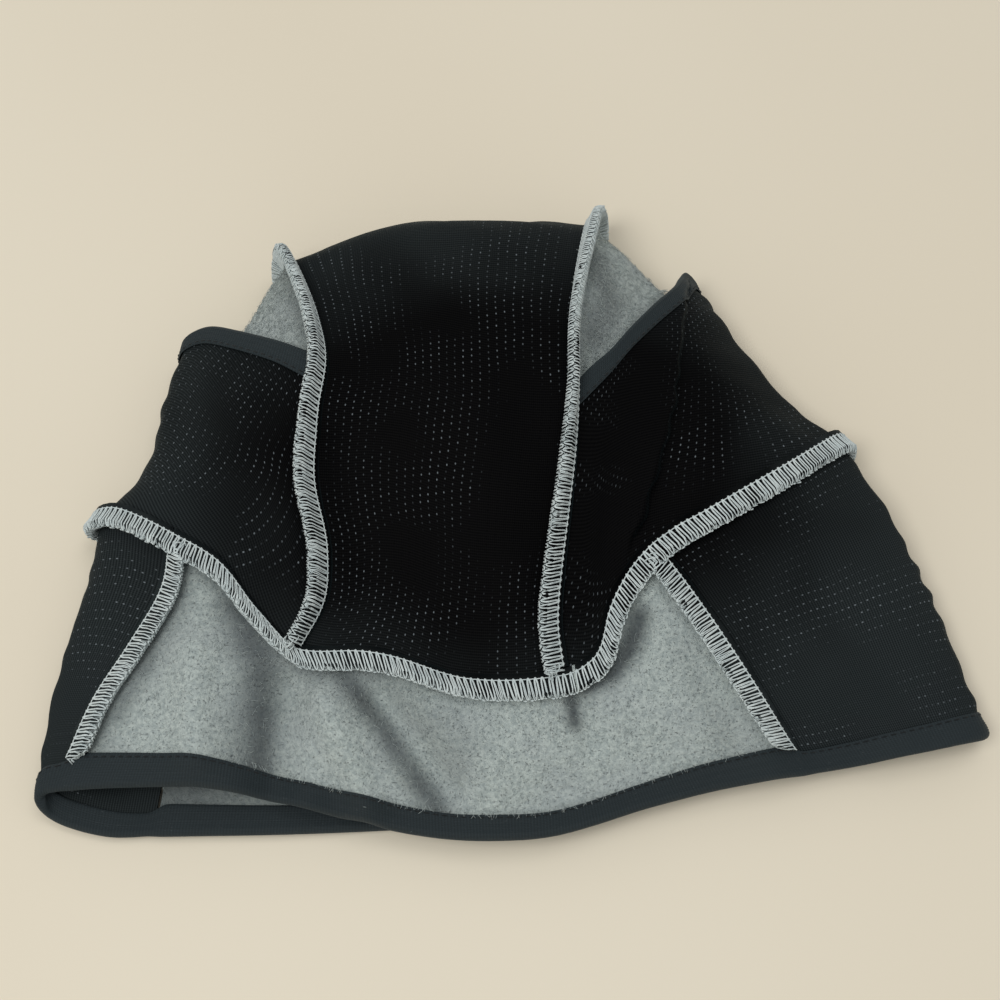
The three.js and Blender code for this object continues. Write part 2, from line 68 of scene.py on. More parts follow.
# Folds in the upper layer, in mm: the line of each from above, how high it stands or how deep it lies, and
# half its width
FOLDS = [
    ([(-92, -50), (-90, -76)], 5.5, 7),
    ([(-66, -60), (-68, -86)], -6.5, 7.5),
    ([(-54, -64), (-42, -90)], 5.0, 5.5),
    ([(-38, -62), (-19, -86)], -5.5, 5),
    ([(-24, -68), (-4, -88)], 2.4, 8),
    ([(18, -65), (22, -74)], -2.6, 4),
    ([(35, -40), (34, -50)], -3.0, 4),
    ([(60, -46), (74, -80)], 2.6, 9),
    ([(-46, -95), (-4, -99), (40, -89), (96, -78)], -8.0, 15),
    ([(68, 50), (100, 5)], -2.2, 9),
    ([(84, 20), (118, -4)], 1.6, 8),
    ([(-80, 20), (-70, -20)], 2.2, 10),
    ([(-60, 10), (-52, -30)], -2.5, 8),
    ([(-20, 50), (-6, -20), (4, -50)], 1.8, 14),
    ([(90, -30), (118, -70)], -2.4, 9),
]
# Painted shade on the fleece, along the folds' valleys and hollows and beside a seam: a line, how dark, and
# half its width
PAINTED_SHADE_LINES = [
    ([(-80, -36), (-72, -52), (-75, -92)], 0.95, 7.5),
    ([(-52, -52), (-38, -70), (-18, -98)], 0.9, 4.2),
    ([(-34, -58), (-16, -76)], 0.35, 7),
    ([(18, -52), (16, -60), (17, -69)], 0.95, 2.6),
    ([(36, -40), (33, -48), (28, -55), (20, -59)], 1.15, 3.4),
    ([(48, -50), (66, -84)], 0.25, 5),
    ([(25, 74), (29, 60), (25, 45)], 0.75, 6),
    ([(-100, -36), (-106, -52), (-114, -66)], 0.6, 3.5),
]
SEAM_SHADE = 0.85  # how dark the painted shadow is beside the seams in the left half of the hood, as along the left half of the neck seam
SEAM_REACH = 8.0  # mm
# The right cheek's tuck, in mm: the cloth to the left of this line hangs over the cloth to its right
TUCK = [(53, 62), (50, 44), (47, 23), (40, -2), (35, -16)]
TUCK_HEIGHT = 2.6
TUCK_DEPTH = 1.6
TUCK_LIP = 1.4  # the width of the drop from the upper cloth to the lower
TUCK_RISE = 9  # how far the upper cloth's rise reaches
TUCK_DIP = 6  # how far the lower cloth's dip reaches
TUCK_FRONT = (-26, -10)  # where the tuck opens out, from the front
SCALLOP = 0.55 * MM  # the height of the waves at the hood's sides
SCALLOP_PITCH = 10.5 * MM

# Fleece
FLEECE_PILE = 0.22 * MM  # how far its fine relief stands
FIBRE = 0.045 * MM  # radius of a loose fibre of the fleece
FIBRE_LENGTH = (0.9 * MM, 2.4 * MM)
FIBRES_PER_PANEL = 1500
FIBRES_ABOVE = 9 * MM  # loose fibres stand only on cloth higher than this
FRINGE = 220  # fibres that stand over the edge of a tape

# Bindings
TAPE_WIDTH = 7.9 * MM
TAPE_THICK = 0.9 * MM
TAPE_EASE = 0.1 * MM  # between the tape and the cloth in its fold
TAPE_RIBS = 9
TAPE_RIB = 0.07 * MM
TAPE_BEND = 10  # steps round its fold
BROW_REACH = 2.5 * MM  # the brow's edge is bound as far as it lies this close to the CAD binding

# Overlocked seams
STITCH = 2.0 * MM
CORE_HALF = 1.15 * MM  # half the thickness of the two layers in a seam
# Shares of the seam's width, and of that half thickness there
CORE_SHAPE = [(0.0, 1.0), (0.35, 0.95), (0.65, 1.15), (0.88, 1.35), (0.97, 1.05), (1.0, 0.45)]
THREAD = 0.165 * MM  # radius
ROOT_STEP = 0.3 * MM  # between the points of a seam's root that the panels are drawn to
NEEDLE_LINE = 0.1  # of the seam's width, from its root
CORE_SINK = 0.25  # how far the two layers go on below the root, in the seam's widths
ENDING = 4.5 * MM  # how far from a seam's end its height starts to fall
NECK_REACH = 9 * MM  # a seam that ends closer than this to the neck seam is sewn into it
RUN_ON = 4.5 * MM  # from the end of a CAD seam to the seam or tape that it runs under
HEM_RUN_ON = {"throat_seam_left": 10 * MM, "throat_seam_right": 10 * MM}  # at the hem, where it is more
KNOT = 2.6 * MM  # the radius of the tangle where one seam crosses another
KNOT_LOOPS = 7

# Topstitching
TOPSTITCH = 2.6 * MM
TOPSTITCH_GAP = 0.5 * MM
TOPSTITCH_RISE = 0.1 * MM  # above the tape
TOPSTITCH_DEPTH = 0.6 * MM  # from there down to a stitch's ends
TOPSTITCH_INSET = 1.2 * MM  # from the tape's inner edge
TOPSTITCH_THREAD = 0.2 * MM  # radius

# The photo's view
CAMERA_PLACE = (-4.0 * MM, -159.8 * MM, 454.4 * MM)
CAMERA_TILT = 20  # degrees from straight down
LENS = 55.74  # mm, on a sensor 36 mm wide


def srgb(red, green, blue):
    """A colour given as 0 to 255, in Blender's linear values."""
    channels = [c / 255 for c in (red, green, blue)]
    linear = [c / 12.92 if c <= 0.04045 else ((c + 0.055) / 1.055) ** 2.4 for c in channels]
    return (*linear, 1.0)


# Reading the CAD shells


def welded(node):
    """A node's points, and its triangles as numbers of those points, with shared corners joined."""
    mesh = node.data
    points = np.empty(len(mesh.vertices) * 3)
    mesh.vertices.foreach_get("co", points)
    points = points.reshape(-1, 3)
    triangles = np.array([list(p.vertices) for p in mesh.polygons])
    rounded = np.round(points / MM * 1000).astype(np.int64)
    _, first, joined = np.unique(rounded, axis=0, return_index=True, return_inverse=True)
    return points[first], joined.reshape(-1)[triangles]


def facing(points, triangles):
    """Each triangle's unit normal and its area."""
    a, b, c = (points[triangles[:, k]] for k in range(3))
    normals = np.cross(b - a, c - a)
    lengths = np.linalg.norm(normals, axis=1)
    return normals / np.maximum(lengths, 1e-20)[:, None], lengths / 2


def broad_faces(points, triangles):
    """The two largest faces of a shell or strip, split from its rims where the surface turns sharply."""
    normals, areas = facing(points, triangles)
    beside = {}
    for number, (a, b, c) in enumerate(triangles):
        for edge in ((a, b), (b, c), (c, a)):
            beside.setdefault(frozenset(edge), []).append(number)
    joined = [[] for _ in triangles]
    for pair in beside.values():
        if len(pair) == 2 and normals[pair[0]] @ normals[pair[1]] > SAME_FACE:
            joined[pair[0]].append(pair[1])
            joined[pair[1]].append(pair[0])
    groups, left = [], set(range(len(triangles)))
    while left:
        waiting = [left.pop()]
        group = []
        while waiting:
            number = waiting.pop()
            group.append(number)
            found = left.intersection(joined[number])
            left -= found
            waiting.extend(found)
        groups.append(sorted(group))
    groups.sort(key=lambda group: -areas[group].sum())
    return groups[:2]


def rims_of(triangles):
    """The loops of points round a face's open edges."""
    directed = {edge for a, b, c in triangles for edge in ((a, b), (b, c), (c, a))}
    onward = {start: end for start, end in directed if (end, start) not in directed}
    loops = []
    while onward:
        start = next(iter(onward))
        loop = [start]
        while onward[loop[-1]] != start:
            loop.append(onward.pop(loop[-1]))
        onward.pop(loop[-1])
        loops.append(loop)
    return loops


def next_row(points, row, around, used, closed):
    """The row of points beside this one, in the same order."""
    free = [around[point] - used for point in row]
    if closed:
        shared = [min(free[k] & free[(k + 1) % len(row)]) for k in range(len(row))]
        turned = shared[-1:] + shared[:-1]
        reach = [np.linalg.norm(points[row] - points[other]) for other in (shared, turned)]
        return shared if reach[0] < reach[1] else turned
    backwards = len(free[0]) > 1
    found = []
    for choices in free[::-1] if backwards else free:
        (point,) = choices - set(found)
        found.append(point)
    return found[::-1] if backwards else found


def grid_of(points, triangles, beside, long_rows=False):
    """A face's points in rows, shape (rows, columns, 3), starting with the row nearest the points given."""
    around, corners = {}, {}
    for triangle in triangles:
        for point in triangle:
            around.setdefault(point, set()).update(set(triangle) - {point})
            corners[point] = corners.get(point, 0) + 1
    loops = rims_of(triangles)
    closed = len(loops) == 2
    if closed:
        sides = loops
    else:
        loop = loops[0]
        turn = next(k for k, point in enumerate(loop) if corners[point] <= 2)
        loop = loop[turn:] + loop[: turn + 1]
        turns = [k for k, point in enumerate(loop) if corners[point] <= 2]
        sides = [loop[start : end + 1] for start, end in zip(turns, turns[1:])]
        if long_rows:
            sides = sorted(sides, key=len)[2:]
    row = min(sides, key=lambda side: nearness(points[side], beside))
    rows, used = [row], set(row)
    while len(used) < len(around):
        rows.append(next_row(points, rows[-1], around, used, closed))
        used.update(rows[-1])
    return points[np.array(rows)], closed


def nearness(some, others):
    """The mean distance from some points to the nearest of the others."""
    return np.mean([np.linalg.norm(others - point, axis=1).min() for point in some])


# Smooth lines and surfaces through those points


def weights(count, places, closed=False):
    """A matrix that makes Catmull-Rom values at the places from values at 0, 1 .. count - 1.

    Beyond its ends, an open line goes on straight.
    """
    places = np.asarray(places, float)
    start = np.floor(places).astype(int)
    if not closed:
        start = np.clip(start, 0, count - 2)
    t = places - start
    matrix = np.zeros((len(places), count + 2))
    rows = np.arange(len(places))
    spline = (
        (-t + 2 * t**2 - t**3) / 2,
        (2 - 5 * t**2 + 3 * t**3) / 2,
        (t + 4 * t**2 - 3 * t**3) / 2,
        (-(t**2) + t**3) / 2,
    )
    inside = (t >= 0) & (t <= 1)
    straight = (0 * t, 1 - t, t, 0 * t)
    for offset, curved, flat in zip(range(4), spline, straight):
        column = (start + offset - 1) % count + 1 if closed else start + offset
        np.add.at(matrix, (rows, column), np.where(inside, curved, flat))
    inner = matrix[:, 1:-1]
    if not closed:
        inner[:, 0] += 2 * matrix[:, 0]
        inner[:, 1] -= matrix[:, 0]
        inner[:, -1] += 2 * matrix[:, -1]
        inner[:, -2] -= matrix[:, -1]
    return inner


def lengths_along(line):
    """The distance along a line of points to each of them."""
    return np.concatenate([[0], np.cumsum(np.linalg.norm(np.diff(line, axis=0), axis=1))])


def between(places, along, values):
    """Values at places on a line, from the values at the distances along it."""
    columns = values.reshape(len(values), -1).T
    moved = np.stack([np.interp(places, along, column) for column in columns], axis=1)
    return moved.reshape(len(places), *values.shape[1:])


def even_places(grid, step):
    """Places along a grid's first axis, a step apart as the cloth lies, and their distances along it."""
    chords = np.linalg.norm(np.diff(grid, axis=0), axis=2).mean(axis=1)
    along = np.concatenate([[0], np.cumsum(chords)])
    wanted = np.linspace(0, along[-1], max(2, round(along[-1] / step)) + 1)
    return np.interp(wanted, along, np.arange(len(along))), wanted


def unit(vectors):
    return vectors / np.maximum(np.linalg.norm(vectors, axis=-1, keepdims=True), 1e-12)


class Cloth:
    """One panel: smooth fine faces laid through its CAD shell's. The first row lies along the node named."""

    def __init__(self, name, material, first_along, flat):
        self.name = name
        self.material = material
        self.flat = flat
        self.fleece = material is FLEECE
        self.sewn = ("last" if first_along.endswith("binding") else "first", "left", "right")
        self.seam_gap = CROWN_GAP if "crown_side" in name else SEAM_GAP
        points, triangles = welded(NODES[name])
        faces = [triangles[group] for group in broad_faces(points, triangles)]
        outer_face, inner_face = sorted(faces, key=lambda face: -outwardness(points, face))
        beside = welded(NODES[first_along])[0]
        outer, _ = grid_of(points, outer_face, beside)
        inner, _ = grid_of(points, inner_face, beside)
        inner = aligned(inner, outer)
        across = outer[0, 1] - outer[0, 0]
        down = outer[1, 0] - outer[0, 0]
        if np.cross(across, down) @ (outer[0, 0] - inner[0, 0]) < 0:
            outer = outer[:, ::-1]
            inner = inner[:, ::-1]
        rows, self.down = even_places(outer, CLOTH_STEP)
        columns, self.across = even_places(outer.transpose(1, 0, 2), CLOTH_STEP)
        vertical = weights(outer.shape[0], rows)
        level = weights(outer.shape[1], columns)
        self.top = np.einsum("rj,ci,jik->rck", vertical, level, outer)
        self.under = np.einsum("rj,ci,jik->rck", vertical, level, inner)

    def scallop(self):
        """The shallow waves that knitted cloth falls into where it folds over at the hood's sides."""
        outward = self.normals()
        steep = np.clip(1 - outward[..., 2] ** 2, 0, 1) ** 2
        wave = np.sin(self.top[..., 1] * 2 * math.pi / SCALLOP_PITCH + 6 * rippled(self.top, 34 * MM, 1.0))
        uneven = np.clip(0.6 + 1.3 * rippled(self.top, 20 * MM, 7.0), 0.1, 1.5)
        shift = outward * (SCALLOP * wave * steep * uneven)[..., None]
        self.top += shift
        self.under += shift

    def normals(self):
        return unit(np.cross(np.gradient(self.top, axis=1), np.gradient(self.top, axis=0)))

    def meet(self, roots):
        """Draws the sewn sides to the seams' roots, where those lie close, and eases the cloth after them."""
        border = np.concatenate([from_side(name, self.top)[0] for name in self.sewn])
        found = [roots.find(point) for point in border]
        pull = np.array([np.array(place) - point for point, (place, _, _) in zip(border, found)])
        close = np.array([distance for _, _, distance in found]) < self.seam_gap
        upright = np.concatenate([from_side(name, self.normals())[0] for name in self.sewn])
        pull -= np.sum(pull * upright, axis=1, keepdims=True) * upright
        pull[~close] = 0
        tree = tree_of(border)
        for grid in (self.top, self.under):
            flat = grid.reshape(-1, 3)
            nearest = [tree.find(point) for point in flat]
            which = np.array([number for _, number, _ in nearest])
            away = np.array([distance for _, _, distance in nearest])
            ease = np.clip(1 - away / EASING, 0, 1) ** 2
            flat += pull[which] * ease[:, None]


def from_side(name, grid):
    """The rows of a cloth's grid, counted inwards from the side named."""
    turned = {
        "first": grid,
        "last": grid[::-1],
        "left": grid.transpose(1, 0, 2),
        "right": grid.transpose(1, 0, 2)[::-1],
    }
    return turned[name]


def outwardness(points, triangles):
    """Above zero for a face that looks away from the middle of the hood."""
    normals, areas = facing(points, triangles)
    centres = points[triangles].mean(axis=1) - MIDDLE
    return (np.sum(centres * normals, axis=1) * areas).sum()


def aligned(grid, other):
    """A grid with its columns in the order of the other's."""
    straight = np.linalg.norm(grid[0] - other[0], axis=1).sum()
    turned = np.linalg.norm(grid[0, ::-1] - other[0], axis=1).sum()
    return grid if straight < turned else grid[:, ::-1]


def tree_of(points):
    tree = KDTree(len(points))
    for number, point in enumerate(points):
        tree.insert(point, number)
    tree.balance()
    return tree


def rippled(points, wavelength, seed):
    """Smooth noise of about -1 to 1 at each point."""
    scaled = points / wavelength + seed
    return np.array([noise.noise(Vector(p)) for p in scaled.reshape(-1, 3)]).reshape(points.shape[:-1])


def smoothstep(low, high, values):
    t = np.clip((values - low) / (high - low), 0, 1)
    return t * t * (3 - 2 * t)


def route_offset(flat, route):
    """Each point's distance from a route in the plane, and on which side of it: above zero to the left."""
    best = np.full(len(flat), np.inf)
    side = np.zeros(len(flat))
    for start, end in zip(route, route[1:]):
        start, step = np.array(start), np.subtract(end, start)
        share = np.clip((flat - start) @ step / (step @ step), 0, 1)
        away = flat - start - share[:, None] * step
        distance = np.linalg.norm(away, axis=1)
        nearer = distance < best
        best[nearer] = distance[nearer]
        side[nearer] = np.sign(step[0] * away[nearer, 1] - step[1] * away[nearer, 0])
    return best, side


def draped(points):
    """Moves points of the hood's upper layer by the folds that the cloth has fallen into."""
    flat = points.reshape(-1, 3)
    plan = flat[:, :2] / MM
    lift = np.zeros(len(flat))
    for route, height, width in FOLDS:
        lift += height * np.exp(-((route_offset(plan, route)[0] / width) ** 2))
    distance, side = route_offset(plan, TUCK)
    over = TUCK_HEIGHT * np.exp(-distance / TUCK_RISE)
    below = TUCK_HEIGHT - (TUCK_HEIGHT + TUCK_DEPTH) * smoothstep(0, TUCK_LIP, distance)
    beside = below * np.exp(-np.maximum(distance - TUCK_LIP, 0) / TUCK_DIP)
    reach = smoothstep(*TUCK_FRONT, plan[:, 1])
    lift += np.where(side < 0, over, beside) * reach
    lift += 0.9 * rippled(flat, 38 * MM, 2.0) + 0.35 * rippled(flat, 15 * MM, 4.0)
    upper = smoothstep(*UPPER_LAYER, flat[:, 2])
    moved = flat.copy()
    moved[:, 2] += lift * MM * upper
    return moved.reshape(points.shape)


# Meshes


def add_piece(name, points, quads, materials, uv=None, slots=None, shade=None):
    """A new object of four-sided faces on the CAD body. The uv and the shade are values for each point."""
    mesh = bpy.data.meshes.new(name)
    points = np.array(points, dtype=np.float32).reshape(-1, 3)
    points[:, 2] = np.maximum(points[:, 2], 0)
    quads = np.array(quads, dtype=np.int32)
    mesh.vertices.add(len(points))
    mesh.vertices.foreach_set("co", points.ravel())
    mesh.loops.add(quads.size)
    mesh.loops.foreach_set("vertex_index", quads.ravel())
    mesh.polygons.add(len(quads))
    mesh.polygons.foreach_set("loop_start", np.arange(0, quads.size, 4, dtype=np.int32))
    if slots is not None:
        mesh.polygons.foreach_set("material_index", np.array(slots, dtype=np.int32))
    mesh.polygons.foreach_set("use_smooth", np.ones(len(quads), dtype=bool))
    for material in materials:
        mesh.materials.append(material)
    if uv is not None:
        layer = mesh.uv_layers.new(name="lay")
        layer.data.foreach_set("uv", np.array(uv, dtype=np.float32)[quads.ravel()].ravel())
    if shade is not None:
        layer = mesh.attributes.new("shade", "FLOAT", "POINT")
        layer.data.foreach_set("value", np.array(shade, dtype=np.float32))
    mesh.update(calc_edges=True)
    mesh.validate()
    made = bpy.data.objects.new(name, mesh)
    bpy.context.scene.collection.objects.link(made)
    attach(made, "root")
    return made


def grid_quads(rows, columns, start=0, across_closed=False, down_closed=False):
    """Faces over a grid of points, each looking along across x down."""
    numbers = np.arange(rows * columns).reshape(rows, columns) + start
    if across_closed:
        numbers = np.concatenate([numbers, numbers[:, :1]], axis=1)
    if down_closed:
        numbers = np.concatenate([numbers, numbers[:1]], axis=0)
    corners = numbers[:-1, :-1], numbers[:-1, 1:], numbers[1:, 1:], numbers[1:, :-1]
    return np.stack([c.ravel() for c in corners], axis=1)


def rim_of(rows, columns):
    """The numbers of the points round a grid's edge, going with its face."""
    numbers = np.arange(rows * columns).reshape(rows, columns)
    sides = numbers[0, :-1], numbers[:-1, -1], numbers[-1, :0:-1], numbers[:0:-1, 0]
    return np.concatenate(sides)


def shell(outer, inner):
    """The points and faces of a closed sheet between two grids."""
    rows, columns = outer.shape[:2]
    count = rows * columns
    points = np.concatenate([outer.reshape(-1, 3), inner.reshape(-1, 3)])
    faces = grid_quads(rows, columns)
    rim = rim_of(rows, columns)
    onward = np.roll(rim, -1)
    edges = np.stack([rim + count, onward + count, onward, rim], axis=1)
    return points, np.concatenate([faces, faces[:, ::-1] + count, edges])


def tube(path, radius, sides=6, closed=False):
    """The points and faces of a thread along a path, with its ends closed."""
    path = np.asarray(path)
    if closed:
        ahead, behind = np.roll(path, -1, axis=0), np.roll(path, 1, axis=0)
        tangents = unit(ahead - behind)
    else:
        tangents = unit(np.gradient(path, axis=0))
    start = np.cross(tangents[0], (0.3, 0.5, 0.81))
    side = Vector(start).normalized()
    normals = []
    for tangent in map(Vector, tangents):
        side = (side - tangent * side.dot(tangent)).normalized()
        normals.append(side.copy())
    normals = np.array(normals)
    binormals = np.cross(tangents, normals)
    turns = np.arange(sides) * 2 * math.pi / sides
    ring = np.cos(turns)[None, :, None] * normals[:, None] + np.sin(turns)[None, :, None] * binormals[:, None]
    points = path[:, None] + ring * radius
    quads = grid_quads(len(path), sides, across_closed=True, down_closed=closed)[:, ::-1]
    if not closed:
        last = (len(path) - 1) * sides
        caps = [[0, 1, 2, 3], [0, 3, 4, 5]]
        ends = [[last + 3, last + 2, last + 1, last], [last + 5, last + 4, last + 3, last]]
        quads = np.concatenate([quads, caps, ends])
    return points.reshape(-1, 3), quads


def gathered(parts):
    """Several meshes' points and faces as one."""
    starts = np.cumsum([0] + [len(points) for points, _ in parts[:-1]])
    faces = [quads + start for (_, quads), start in zip(parts, starts)]
    return np.concatenate([points for points, _ in parts]), np.concatenate(faces)


# Materials


class Shader:
    """A material's node tree, with a Principled shader at its end."""

    def __init__(self, name, roughness, specular, sheen=0.0, sheen_tint=(1, 1, 1, 1), fuzz=0.5):
        self.material = bpy.data.materials.new(name)
        self.material.use_nodes = True
        self.nodes = self.material.node_tree.nodes
        self.links = self.material.node_tree.links
        self.surface = self.nodes["Principled BSDF"]
        settings = {"Roughness": roughness, "Specular IOR Level": specular, "Sheen Weight": sheen}
        settings |= {"Sheen Roughness": fuzz, "Sheen Tint": sheen_tint}
        for key, value in settings.items():
            self.surface.inputs[key].default_value = value

    def node(self, kind, inputs=(), **settings):
        made = self.nodes.new(kind)
        for key, value in settings.items():
            setattr(made, key, value)
        for key, value in dict(inputs).items():
            if isinstance(value, bpy.types.NodeSocket):
                self.links.new(value, made.inputs[key])
            else:
                made.inputs[key].default_value = value
        return made

    def math(self, operation, first, second=0.0):
        return self.node("ShaderNodeMath", {0: first, 1: second}, operation=operation).outputs[0]

    times = partialmethod(math, "MULTIPLY")
    plus = partialmethod(math, "ADD")
    minus = partialmethod(math, "SUBTRACT")

    def wave(self, value, pitch):
        """A sine of the value that repeats after the pitch."""
        return self.math("SINE", self.times(value, 2 * math.pi / pitch))

    def place(self):
        """Where a point is on the object, in metres."""
        return self.node("ShaderNodeTexCoord").outputs["Object"]

    def lay(self, turn=0.0):
        """Where a point is on its cloth, across and down, in millimetres, turned by an angle."""
        flat = self.node("ShaderNodeUVMap", uv_map="lay").outputs[0]
        turned = self.node("ShaderNodeMapping", {"Vector": flat, "Rotation": (0, 0, turn)}).outputs[0]
        split = self.node("ShaderNodeSeparateXYZ", {0: turned})
        return split.outputs[0], split.outputs[1]

    def grain(self, size, detail=2.0, roughness=0.5):
        """Noise from 0 to 1 whose patches are about the size given."""
        settings = {"Vector": self.place(), "Scale": 1 / size, "Detail": detail, "Roughness": roughness}
        return self.node("ShaderNodeTexNoise", settings).outputs[0]

    def glare_share(self):
        """From 0 in the middle of the hood to 1 at its outside, where painted glare makes the black cloth
        paler.
        """
        settings = {"Vector": self.place(), "Location": (0.02, -0.05, 0), "Scale": (7.2, 9.2, 0)}
        spread = self.node("ShaderNodeMapping", settings).outputs[0]
        distance = self.node("ShaderNodeVectorMath", {0: spread}, operation="LENGTH").outputs["Value"]
        wander = self.times(self.grain(40 * MM), 0.35)
        return self.ramp(self.plus(distance, wander), 0.58, 1.12)

    def ramp(self, value, low, high, dark=0.0, light=1.0):
        """The value from low to high as dark to light, smoothly and no further."""
        inputs = {"Value": value, "From Min": low, "From Max": high, "To Min": dark, "To Max": light}
        return self.node("ShaderNodeMapRange", inputs, interpolation_type="SMOOTHSTEP").outputs[0]

    def mix(self, share, first, second):
        inputs = {0: share, 6: first, 7: second}
        return self.node("ShaderNodeMix", inputs, data_type="RGBA").outputs[2]

    def colour(self, value):
        self.links.new(value, self.surface.inputs["Base Color"])

    def bump(self, height, distance, strength=1.0):
        inputs = {"Height": height, "Distance": distance, "Strength": strength}
        made = self.node("ShaderNodeBump", inputs)
        self.links.new(made.outputs[0], self.surface.inputs["Normal"])


def fleece_material():
    """Brushed fleece: felted fibres in soft clumps, with small dark pits between them, and painted shade from
    each point's shade value.
    """
    made = Shader("fleece", 1.0, 0.1, sheen=0.15)
    clumps = made.grain(1.3 * MM, detail=5, roughness=0.7)
    fibres = made.grain(0.4 * MM, detail=3, roughness=0.7)
    broad = made.grain(16 * MM, detail=2)
    pits = made.ramp(made.grain(0.62 * MM, detail=2), 0.62, 0.71)
    colour = made.mix(made.ramp(clumps, 0.34, 0.66), srgb(146, 159, 161), srgb(190, 202, 200))
    colour = made.mix(made.ramp(broad, 0.35, 0.7, 0.0, 0.35), colour, srgb(158, 168, 173))
    colour = made.mix(made.ramp(fibres, 0.3, 0.75, 0.0, 0.35), colour, srgb(200, 210, 208))
    colour = made.mix(made.times(pits, 0.5), colour, srgb(104, 114, 120))
    # Painted shade: each point's shade value darkens the fleece in its folds, beside the seams and inside the
    # hood.
    painted_shade_share = made.node("ShaderNodeAttribute", attribute_name="shade").outputs["Fac"]
    colour = made.mix(made.times(painted_shade_share, 0.8), colour, srgb(50, 57, 63))
    made.colour(colour)
    height = made.plus(clumps, made.times(fibres, 0.5))
    made.bump(made.minus(height, made.times(pits, 0.6)), 0.8 * MM, 0.9)
    return made.material


def mesh_material(name, turn, seed):
    """Black ribbed knit with columns of small eyelets that run down the cloth, turned by the angle given."""
    made = Shader(name, 0.6, 0.03, sheen=0.05, sheen_tint=srgb(140, 172, 182), fuzz=0.4)
    across, down = made.lay(turn)
    wander = made.minus(made.grain(24 * MM), 0.5)
    across = made.plus(across, made.times(wander, 2.5))
    column = made.math("DIVIDE", across, EYELET_COLUMNS)
    shifted = made.times(made.math("FLOOR", column), 0.5)
    row = made.plus(made.math("DIVIDE", down, EYELET_ROWS), shifted)
    x = made.times(made.minus(made.math("FRACT", column), 0.5), EYELET_COLUMNS)
    y = made.times(made.minus(made.math("FRACT", row), 0.5), EYELET_ROWS)
    squared = made.plus(made.times(x, x), made.times(made.times(y, y), 0.5))
    eyelet = made.ramp(made.math("SQRT", squared), EYELET_RADIUS * 0.7, EYELET_RADIUS * 1.3, 1.0, 0.0)
    patches = made.ramp(made.grain(26 * MM, detail=1, roughness=seed), 0.4, 0.6)
    chance = made.ramp(made.grain(2.6 * MM, detail=0), 0.34, 0.7, 0.12, 1.0)
    shown = made.times(made.times(eyelet, patches), chance)
    ribs = made.wave(down, RIB_PITCH)
    knit = made.wave(across, LOOP_PITCH)
    weave = made.times(made.plus(ribs, made.times(knit, 0.5)), 0.3)
    lint = made.ramp(made.grain(0.7 * MM, detail=3, roughness=0.7), 0.66, 0.8)
    colour = made.mix(made.ramp(weave, -0.4, 0.4), srgb(1, 1, 2), srgb(9, 9, 10))
    # Painted glare: the black cloth made paler towards the hood's outside.
    glare = made.mix(made.ramp(weave, -0.4, 0.4), srgb(23, 28, 30), srgb(45, 51, 53))
    colour = made.mix(made.glare_share(), colour, glare)
    colour = made.mix(made.times(lint, 0.03), colour, srgb(120, 124, 128))
    colour = made.mix(shown, colour, srgb(104, 112, 118))
    made.colour(colour)
    made.bump(made.minus(weave, eyelet), 0.16 * MM, 0.6)
    return made.material


def tape_material():
    """Elastic binding: dense black knit, ribbed along its length."""
    made = Shader("elastic_tape", 0.7, 0.3, sheen=0.12, sheen_tint=srgb(140, 160, 170))
    across, down = made.lay()
    ribs = made.wave(down, 0.4)
    loops = made.wave(across, 0.9)
    knit = made.plus(ribs, loops)
    lint = made.ramp(made.grain(0.8 * MM, detail=3, roughness=0.7), 0.62, 0.78)
    colour = made.mix(made.ramp(knit, -1.5, 1.5), srgb(23, 32, 36), srgb(35, 46, 51))
    made.colour(made.mix(made.times(lint, 0.15), colour, srgb(130, 138, 140)))
    made.bump(knit, 0.08 * MM, 0.5)
    return made.material


def thread_material(name, dark, light, sheen):
    """Spun thread: fine plies, uneven along its length."""
    made = Shader(name, 0.9, 0.2, sheen=sheen)
    plies = made.grain(0.35 * MM, detail=3, roughness=0.7)
    uneven = made.grain(5 * MM)
    shade = made.plus(made.times(plies, 0.7), made.times(uneven, 0.3))
    made.colour(made.mix(made.ramp(shade, 0.3, 0.68), dark, light))
    made.bump(plies, 0.12 * MM, 0.6)
    return made.material


FLEECE = fleece_material()
CENTRE_MESH = mesh_material("mesh_cloth_centre", 0.0, 0.5)
CHEEK_MESH = mesh_material("mesh_cloth_cheek", math.radians(25), 0.6)
NECK_MESH = mesh_material("mesh_cloth_neck", math.radians(90), 0.4)
TAPE = tape_material()
PALE_THREAD = thread_material("overlock_thread", srgb(172, 186, 190), srgb(216, 226, 227), 0.2)
DARK_THREAD = thread_material("black_thread", srgb(16, 19, 21), srgb(34, 39, 42), 0.1)


# Panels


def nap(cloth):
    """The fine unevenness of a panel's outer face: a soft pile on fleece, almost none on knitted mesh."""
    clumps = rippled(cloth.top, 3.1 * MM, 5.0)
    tufts = rippled(cloth.top, 1.5 * MM, 9.0)
    pile = FLEECE_PILE if cloth.fleece else MESH_PILE
    return (clumps + 0.7 * tufts) * pile


